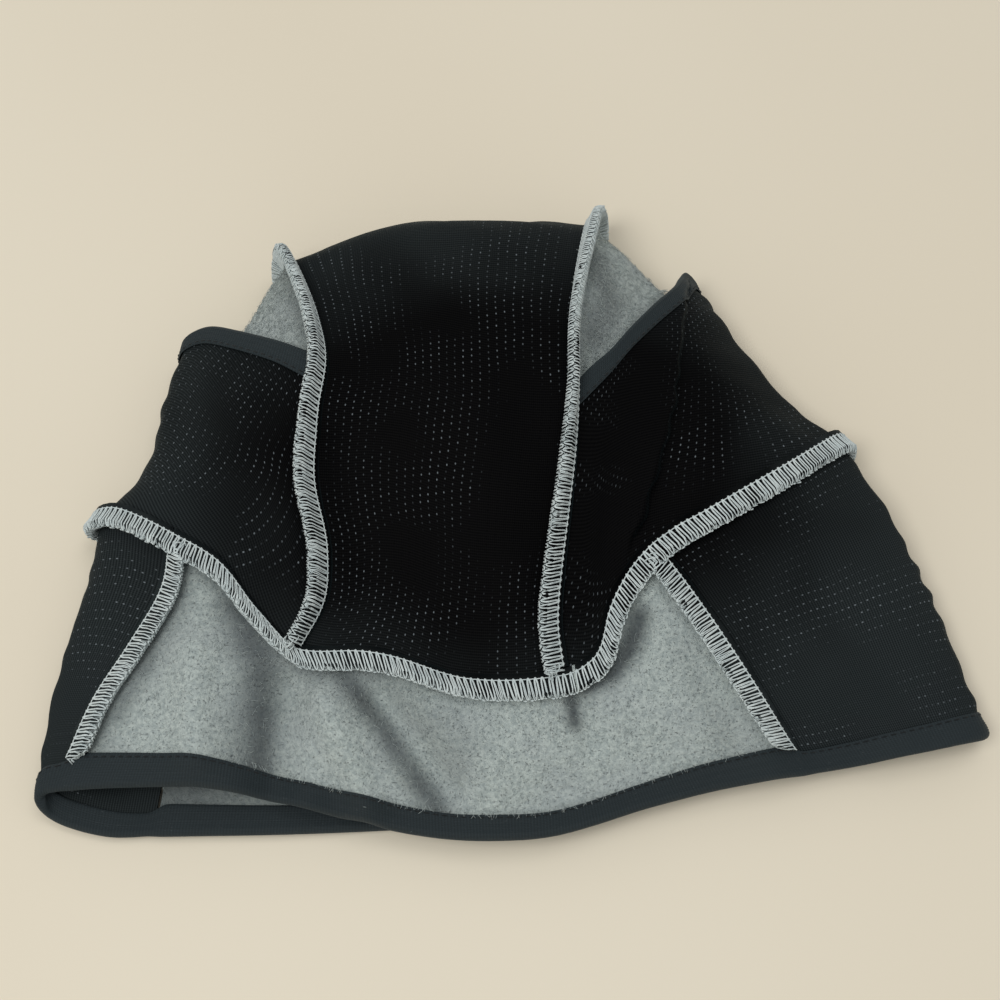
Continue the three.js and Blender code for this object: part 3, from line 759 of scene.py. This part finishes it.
def painted_shade(points):
    """How much painted shade each point gets: along the folds' valleys and hollows, beside the seams, and all
    over the fleece inside the hood.
    """
    flat = points.reshape(-1, 3)
    plan = flat[:, :2] / MM
    shade = np.zeros(len(flat))
    for route, dark, width in PAINTED_SHADE_LINES:
        shade = np.maximum(shade, dark * np.exp(-((route_offset(plan, route)[0] / width) ** 2)))
    # Painted shadow beside the seams in the hood's left half.
    away = np.array([SEAM_ROOTS.find(point)[2] for point in flat]) / MM
    left_half = smoothstep(5, 45, -plan[:, 0])
    shade = np.maximum(shade, SEAM_SHADE * np.exp(-((away / SEAM_REACH) ** 2)) * left_half)
    uneven = 1 + 0.25 * rippled(flat, 9 * MM, 6.0)
    # Painted shade inside the hood: all fleece below the lining height, darker towards the left.
    inside = 0.35 + 0.6 * smoothstep(50, 115, -plan[:, 0])
    return np.clip(np.where(flat[:, 2] > LINING_HEIGHT, shade * uneven, inside), 0, 1)


def add_panel(cloth):
    """The panel as a closed sheet of cloth with a detailed outer face."""
    outer = cloth.top + cloth.normals() * nap(cloth)[..., None]
    points, quads = shell(outer, cloth.under)
    across, down = np.meshgrid(cloth.across / MM, cloth.down / MM)
    uv = np.tile(np.stack([across.ravel(), down.ravel()], axis=1), (2, 1))
    shade = np.tile(painted_shade(cloth.top), 2) if cloth.fleece else None
    made = add_piece(cloth.name + "_cloth", points, quads, [cloth.material], uv=uv, shade=shade)
    made.data.set_sharp_from_angle(angle=math.radians(60))
    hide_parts(cloth.name)


def fibre(root, along, up):
    """A loose fibre that starts at a point, goes one way and bends over."""
    length = RANDOM.uniform(*FIBRE_LENGTH)
    aside = np.cross(along, up) * RANDOM.normal(0, 0.5)
    steps = np.linspace(0, 1, 5)[:, None]
    rise = steps * RANDOM.uniform(0.25, 0.7) - steps**2 * 0.35
    return tube(root + length * (steps * along + steps**2 * aside + rise * up), FIBRE)


def add_fibres(cloth):
    """Loose fibres on a fleece panel's visible face, and a fringe of them over the tape at its last side."""
    upward = cloth.normals()
    rows, columns = cloth.top.shape[:2]
    made = []
    while len(made) < FIBRES_PER_PANEL:
        row, column = RANDOM.integers(1, rows - 1), RANDOM.integers(1, columns - 1)
        root, up = cloth.top[row, column], upward[row, column]
        if root[2] > FIBRES_ABOVE:
            along = unit(np.cross(up, RANDOM.normal(0, 1, 3)))
            made.append(fibre(root, along, up))
    row = rows - 1 - round(TAPE_WIDTH / CLOTH_STEP)
    for column in RANDOM.integers(1, columns - 1, FRINGE):
        root, up = cloth.top[row, column], upward[row, column]
        over = unit(cloth.top[row + 1, column] - root)
        made.append(fibre(root + up * 0.5 * MM, unit(over + up * 0.6), up))
    piece = add_piece(cloth.name + "_fibres", *gathered(made), [FLEECE])


# Each panel's material, the node that its first row lies along, and its flat width and length
PANELS = {
    "crown_centre_panel": (CENTRE_MESH, "neck_seam", (0.082, 0.213)),
    "crown_side_panel_left": (FLEECE, "crown_seam_left", (0.055, 0.038)),
    "crown_side_panel_right": (FLEECE, "crown_seam_right", (0.063, 0.043)),
    "cheek_panel_left": (CHEEK_MESH, "mask_edge_binding", (0.192, 0.06)),
    "cheek_panel_right": (CHEEK_MESH, "mask_edge_binding", (0.22, 0.061)),
    "neck_side_panel_left": (NECK_MESH, "neck_seam", (0.066, 0.084)),
    "neck_side_panel_right": (NECK_MESH, "neck_seam", (0.115, 0.087)),
    "nape_yoke": (FLEECE, "neck_seam", (0.19, 0.052)),
    "throat_yoke": (FLEECE, "neck_seam", (0.188, 0.06)),
}


# Overlocked seams


class Fin:
    """An overlocked seam, standing up from its root: smooth lines through the middle of its CAD strip."""

    def __init__(self, name):
        points, triangles = welded(NODES[name])
        faces = [triangles[group] for group in broad_faces(points, triangles)]
        one, self.closed = grid_of(points, faces[0], PANEL_POINTS, long_rows=True)
        other, _ = grid_of(points, faces[1], PANEL_POINTS, long_rows=True)
        partners = [tree_of(row) for row in other]
        paired = [[tree.find(point)[0] for point in row] for tree, row in zip(partners, one)]
        middle = (one + np.array(paired)) / 2
        self.root, self.tip = (draped(row) for row in middle)
        self.count = len(self.root)
        loop = np.concatenate([self.root, self.root[:1]]) if self.closed else self.root
        self.along = lengths_along(loop)
        self.length = self.along[-1]
        run_on = 0 if self.closed else RUN_ON
        at_hem = HEM_RUN_ON.get(name, run_on)
        hem_first = self.root[0, 1] < self.root[-1, 1]
        self.start = -(at_hem if hem_first else run_on)
        self.end = self.length + (run_on if hem_first else at_hem)
        self.rounded_from = self.start - (ENDING if self.joins_neck(0) else 0)
        self.rounded_to = self.end + (ENDING if self.joins_neck(-1) else 0)
        self.stitches = max(2, round((self.end - self.start) / STITCH))
        self.pitch = (self.end - self.start) / self.stitches
        self.places = np.arange(len(self.along))

    def joins_neck(self, end):
        """Whether this end of an open seam runs into the neck seam, where it stays at its full width."""
        return not self.closed and NECK_ROOT.find(self.root[end])[2] < NECK_REACH

    def height(self, along):
        """The share of the seam's full width that stands at each distance along it: free ends are rounded."""
        if self.closed:
            return np.ones(len(along))
        within = np.minimum(along - self.rounded_from, self.rounded_to - along)
        rest = 1 - np.clip(within / ENDING, 0, 1)
        return np.sqrt(np.maximum(1 - rest**2, 0.04))

    def root_line(self):
        """Close points along the seam's root, with its ends run on."""
        return self.at(np.arange(self.start, self.end, ROOT_STEP), 0.0, 0.0)

    def at(self, along, across, out):
        """Points on the seam: distances along it, shares of its width, and distances off its middle."""
        along, across, out = np.broadcast_arrays(np.atleast_1d(along), across, out)
        if self.closed:
            place = np.interp(along % self.length, self.along, self.places)
        else:
            place = np.interp(along, self.along, self.places)
            place += np.minimum(along, 0) / self.along[1]
            place += np.maximum(along - self.length, 0) / (self.along[-1] - self.along[-2])
        matrix = weights(self.count, place, self.closed)
        root, tip = matrix @ self.root, matrix @ self.tip
        ahead = weights(self.count, place + 0.1, self.closed) @ self.root
        up = tip - root
        face = unit(np.cross(ahead - root, up))
        up *= self.height(along)[:, None]
        return root + up * across[:, None] + face * out[:, None]


def core_of(fin):
    """The points and faces of the seam's two layers of cloth, and each face's material: its own panel's."""
    count = max(8, round((fin.end - fin.start) / CLOTH_STEP))
    along = np.linspace(fin.start, fin.end, count + 1)
    if fin.closed:
        along = along[:-1]
    profile = [(-CORE_SINK, 1.0), *CORE_SHAPE, (1.01, 0.0)]
    profile += [(across, -out) for across, out in profile[-2::-1]]
    rings = np.stack([fin.at(along, across, out * CORE_HALF) for across, out in profile], axis=1)
    rings += rippled(rings, 2.2 * MM, 3.0)[..., None] * 0.12 * MM
    quads = grid_quads(len(along), len(profile), across_closed=True, down_closed=fin.closed)
    probes = {side: fin.at(along, 0.0, side * 3 * MM) for side in (1, -1)}
    cloth_of = {side: [IS_FLEECE[PANEL_TREE.find(p)[1]] for p in probes[side]] for side in (1, -1)}
    half = len(profile) // 2
    lengthwise = len(quads) // len(profile)
    sides = [1 if turn < half else -1 for turn in range(len(profile))]
    slots = [cloth_of[side][ring] for ring in range(lengthwise) for side in sides]
    return rings.reshape(-1, 3), quads, slots


def beside_core(across):
    """How far off the seam's middle a thread lies on the cloth, and over its cut edge beyond that."""
    places, halves = np.array([*CORE_SHAPE, (1.1, 0.0)]).T
    return np.interp(across, places, halves) * CORE_HALF + THREAD * (across < 1)


def looper(fin, side, phase):
    """The thread that covers one face: for every stitch a loop out to the cut edge and back."""
    shape = [(0.0, 0.03), (0.1, 0.08), (0.2, 0.3), (0.22, 0.6), (0.23, 0.85), (0.27, 0.98), (0.36, 1.06)]
    shape += [(0.5, 1.09), (0.64, 1.06), (0.73, 0.98), (0.77, 0.85), (0.78, 0.6), (0.8, 0.3), (0.9, 0.08)]
    steps, widths = np.array(shape).T
    heights = beside_core(widths)
    shifts = RANDOM.normal(0, 0.05, (fin.stitches, 1))
    depths = RANDOM.normal(0, 0.03, (fin.stitches, 1))
    turns = np.arange(fin.stitches)[:, None] + phase + steps + shifts * widths
    across = widths * (1 + depths * (widths > 0.5))
    out = np.tile(heights * side, (fin.stitches, 1))
    return fin.at(fin.start + turns.ravel() * fin.pitch, across.ravel(), out.ravel())


def edge_chain(fin, phase):
    """One of the two threads that hook together over the cut edge."""
    turns = np.arange(fin.stitches * 8) / 8 + phase
    along = turns * fin.pitch + np.sin(turns * 4 * math.pi) * 0.2 * MM
    out = np.sin(turns * 2 * math.pi) * CORE_HALF * 1.3
    across = 1.05 - 0.12 * np.sin(turns * 2 * math.pi) ** 2
    return fin.at(fin.start + along, across, out)


def needle_line(fin, side):
    """The needle's thread along the root: it shows between one hole and the next."""
    steps, heights = np.array([(0.0, 0.2), (0.12, 1.0), (0.5, 1.12), (0.88, 1.0)]).T
    turns = (np.arange(fin.stitches)[:, None] + steps).ravel()
    out = np.tile(heights * side * (CORE_HALF + THREAD * 0.8), fin.stitches)
    return fin.at(fin.start + turns * fin.pitch, NEEDLE_LINE, out)


def knot(middle, up, spread):
    """A tangle of thread: loops that lie roughly across the direction given."""
    loops = []
    turns = np.arange(14) * 2 * math.pi / 14
    for _ in range(KNOT_LOOPS):
        tilted = unit(up + RANDOM.normal(0, 0.35, 3))
        one = unit(np.cross(tilted, RANDOM.normal(0, 1, 3)))
        other = np.cross(tilted, one)
        long, short = spread * RANDOM.uniform(0.5, 1.0), spread * RANDOM.uniform(0.25, 0.7)
        centre = middle + RANDOM.normal(0, 0.25 * spread, 3)
        ring = np.cos(turns)[:, None] * one * long + np.sin(turns)[:, None] * other * short
        loops.append(tube(centre + ring, THREAD, closed=True))
    return loops


def add_seam(name):
    """An overlocked seam: its two layers of cloth, and the thread round them."""
    fin = Fin(name)
    points, quads, slots = core_of(fin)
    core = add_piece(name + "_allowance", points, quads, [CHEEK_MESH, FLEECE], slots=slots)
    strands = ((1, 0.0), (1, 0.1), (-1, 0.5), (-1, 0.6))
    paths = [looper(fin, side, phase) for side, phase in strands]
    paths += [edge_chain(fin, phase) for phase in (0.25, 0.75)]
    paths += [needle_line(fin, side) for side in (1, -1)]
    threads = [tube(path, THREAD, closed=fin.closed) for path in paths]
    if not fin.closed:
        for end in (fin.start, fin.end):
            place = fin.at(end, 0.7, 0.0)[0]
            if NECK_ROOT.find(place)[2] < NECK_REACH:
                upright = unit(fin.at(end, 1.0, 0.0)[0] - fin.at(end, 0.0, 0.0)[0])
                threads += knot(place, upright, KNOT)
    made = add_piece(name + "_thread", *gathered(threads), [PALE_THREAD])
    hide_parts(name)


# Bindings


class Hem:
    """The edge that a tape is folded over: the cloth's middle at steps inwards, and its directions."""

    def __init__(self, names, side, closed=False, keep=None):
        cloths = [CLOTHS[name] for name in names]
        depth = math.ceil(TAPE_WIDTH / CLOTH_STEP) + 2
        top = np.concatenate([from_side(side, c.top)[:depth].transpose(1, 0, 2) for c in cloths])
        under = np.concatenate([from_side(side, c.under)[:depth].transpose(1, 0, 2) for c in cloths])
        middle, half = (top + under) / 2, (top - under) / 2
        if keep is not None:
            near = np.array([keep.find(point)[2] < BROW_REACH for point in middle[:, 0]])
            middle, half = middle[near], half[near]
        self.closed = closed
        if closed:
            middle = np.concatenate([middle, middle[:1]])
            half = np.concatenate([half, half[:1]])
        along = lengths_along(middle[:, 0])
        wanted = np.linspace(0, along[-1], round(along[-1] / CLOTH_STEP) + 1)
        self.along = wanted[:-1] if closed else wanted
        self.middle = self.smooth(between(self.along, along, middle))
        half = self.smooth(between(self.along, along, half))
        self.thick = np.linalg.norm(half[:, 0], axis=1)
        self.up = unit(half)
        self.inwards = lengths_along(self.middle[0])
        self.onward = unit(self.middle[:, 0] - self.middle[:, 1])

    def smooth(self, values):
        """Evens out the steps where one panel's edge meets the next."""
        spread = 4
        kernel = np.hanning(2 * spread + 3)[1:-1]
        kernel /= kernel.sum()
        mode = "wrap" if self.closed else "edge"
        padded = np.pad(values, [(spread, spread)] + [(0, 0)] * (values.ndim - 1), mode=mode)
        return sum(w * padded[k : k + len(values)] for k, w in enumerate(kernel))

    def at(self, inwards, out):
        """A point for each place along the hem, a distance in from the edge and off the cloth's middle."""
        step = np.interp(inwards, self.inwards, np.arange(len(self.inwards)))
        low = min(int(step), len(self.inwards) - 2)
        share = step - low
        middle = self.middle[:, low] * (1 - share) + self.middle[:, low + 1] * share
        up = self.up[:, low] * (1 - share) + self.up[:, low + 1] * share
        return middle + up * out[:, None]

    def bend(self, turn, radius):
        """A point for each place along the hem, on a half circle round the cloth's edge."""
        outward = self.onward * (math.sin(turn) * radius)[:, None]
        return self.middle[:, 0] + outward + self.up[:, 0] * (math.cos(turn) * radius)[:, None]


def tape_rings(hem):
    """The tape's section at each place along the hem: over the ribbed outside and back along the inside."""
    inside = hem.thick + TAPE_EASE
    legs = 4 * TAPE_RIBS
    ribbed = []
    for k in range(legs + 1):
        inwards = TAPE_WIDTH * (1 - k / legs)
        swell = 0.55 + 0.45 * math.sqrt(min(1.0, (TAPE_WIDTH - inwards) / TAPE_THICK))
        rib = TAPE_RIB * math.cos(2 * math.pi * TAPE_RIBS * k / legs)
        ribbed.append((inwards, inside + TAPE_THICK * swell + rib))
    turns = [math.pi * k / TAPE_BEND for k in range(1, TAPE_BEND)]
    rows = [hem.at(inwards, out) for inwards, out in ribbed]
    rows += [hem.bend(turn, inside + TAPE_THICK) for turn in turns]
    rows += [hem.at(inwards, -out) for inwards, out in reversed(ribbed)]
    rows += [hem.at(inwards, -inside) for inwards in (TAPE_WIDTH, TAPE_WIDTH / 2, 0.0)]
    rows += [hem.bend(turn, inside) for turn in reversed(turns)]
    rows += [hem.at(inwards, inside) for inwards in (0.0, TAPE_WIDTH / 2)]
    return np.stack(rows, axis=1)


def add_tape(name, hem):
    """A tape folded over the hem."""
    rings = tape_rings(hem)
    places, turns = rings.shape[:2]
    quads = grid_quads(places, turns, across_closed=True, down_closed=hem.closed)[:, ::-1]
    around = lengths_along(rings[0])
    across, down = np.meshgrid(around / MM, hem.along / MM)
    uv = np.stack([down.ravel(), across.ravel()], axis=1)
    points = rings.reshape(-1, 3)
    if not hem.closed:
        ends = [end_cap(turns), end_cap(turns)[:, ::-1] + (places - 1) * turns]
        quads = np.concatenate([quads, *ends])
    made = add_piece(name + "_tape", points, quads, [TAPE], uv=uv)
    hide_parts(name)


def end_cap(turns):
    """Faces across a tape's cut end, between the outside of its section and the inside."""
    low = np.arange((turns - 2) // 2)
    high = turns - 1 - low
    return np.stack([low, low + 1, high - 1, high], axis=1)


def add_topstitch(name, hem):
    """A line of stitches through the tape, near its inner edge."""
    inset = TAPE_WIDTH - TOPSTITCH_INSET
    height = hem.thick + TAPE_EASE + TAPE_THICK + TOPSTITCH_RISE
    line = hem.at(inset, height)
    below = hem.at(inset, height - TOPSTITCH_DEPTH)
    sunk = np.array([1.0, 0.35, 0.0, 0.0, 0.0, 0.35, 1.0])[:, None]
    count = round(hem.along[-1] / TOPSTITCH)
    parts = []
    for stitch in range(count):
        start, end = stitch * TOPSTITCH, (stitch + 1) * TOPSTITCH - TOPSTITCH_GAP
        places = np.linspace(start, end, len(sunk))
        path = between(places, hem.along, line) * (1 - sunk) + between(places, hem.along, below) * sunk
        parts.append(tube(path, TOPSTITCH_THREAD))
    made = add_piece(name + "_thread", *gathered(parts), [DARK_THREAD])
    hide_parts(name)


# The table, the light and the camera


def add_stage():
    """A plain pale floor."""
    mesh = bpy.data.meshes.new("floor")
    mesh.from_pydata([(-3, -3, 0), (3, -3, 0), (3, 3, 0), (-3, 3, 0)], [], [(0, 1, 2, 3)])
    floor = bpy.data.objects.new("floor", mesh)
    bpy.context.scene.collection.objects.link(floor)
    made = Shader("table", 0.6, 0.3)
    tone = made.ramp(made.grain(0.25, detail=1), 0.3, 0.7)
    made.colour(made.mix(tone, srgb(222, 214, 196), srgb(226, 219, 202)))
    mesh.materials.append(made.material)


def add_lamp(name, place, size, power, colour):
    """A round soft lamp, turned to the hood."""
    light = bpy.data.lights.new(name, "AREA")
    light.shape = "DISK"
    light.size = size
    light.energy = power
    light.color = colour
    lamp = bpy.data.objects.new(name, light)
    lamp.location = place
    lamp.rotation_euler = (-Vector(place)).to_track_quat("-Z", "Y").to_euler()
    bpy.context.scene.collection.objects.link(lamp)


def add_light():
    """Soft light from all round, with two broad lamps overhead."""
    world = bpy.data.worlds.new("room")
    world.use_nodes = True
    background = world.node_tree.nodes["Background"]
    background.inputs["Color"].default_value = (1.0, 0.98, 0.94, 1)
    background.inputs["Strength"].default_value = 0.46
    bpy.context.scene.world = world
    add_lamp("window", (-0.5, -0.3, 1.3), 0.7, 8, (1.0, 0.98, 0.94))
    add_lamp("ceiling", (0.3, 0.4, 1.7), 0.9, 5, (1.0, 0.98, 0.96))


def add_camera():
    """The photo's view: from above and in front."""
    data = bpy.data.cameras.new("camera")
    data.sensor_width = 36
    data.lens = LENS
    camera = bpy.data.objects.new("camera", data)
    camera.location = CAMERA_PLACE
    camera.rotation_euler = (math.radians(CAMERA_TILT), 0, 0)
    bpy.context.scene.collection.objects.link(camera)
    bpy.context.scene.camera = camera
    bpy.context.scene.view_settings.view_transform = "Standard"


add_camera()
add_stage()
add_light()

CLOTHS = {name: Cloth(name, *facts) for name, facts in PANELS.items()}
COARSE = {name: cloth.top[::3, ::3].reshape(-1, 3) for name, cloth in CLOTHS.items()}
PANEL_POINTS = np.concatenate(list(COARSE.values()))
PANEL_TREE = tree_of(PANEL_POINTS)
IS_FLEECE = [int(CLOTHS[name].fleece) for name, points in COARSE.items() for _ in points]

SEAMS = [name for name in NODES if "_seam" in name]
NECK_ROOT = tree_of(Fin("neck_seam").root)
SEAM_ROOTS = tree_of(np.concatenate([Fin(name).root_line() for name in SEAMS]))
for cloth in CLOTHS.values():
    cloth.top, cloth.under = draped(cloth.top), draped(cloth.under)
    cloth.meet(SEAM_ROOTS)
    if not cloth.fleece:
        cloth.scallop()
    add_panel(cloth)
    if cloth.fleece and cloth.name != "throat_yoke":
        add_fibres(cloth)
for name in SEAMS:
    add_seam(name)

AROUND_NECK = ["nape_yoke", "neck_side_panel_left", "throat_yoke", "neck_side_panel_right"]
AROUND_MASK = ["cheek_panel_left", "cheek_panel_right"]
AROUND_BROW = ["crown_side_panel_left", "crown_centre_panel", "crown_side_panel_right"]
hems = {
    "hem": Hem(AROUND_NECK, "last", closed=True),
    "mask_edge": Hem(AROUND_MASK, "first"),
    "brow": Hem(AROUND_BROW, "last", keep=tree_of(welded(NODES["brow_binding"])[0])),
}
for name, hem in hems.items():
    add_tape(name + "_binding", hem)
    add_topstitch(name + "_topstitch", hem)
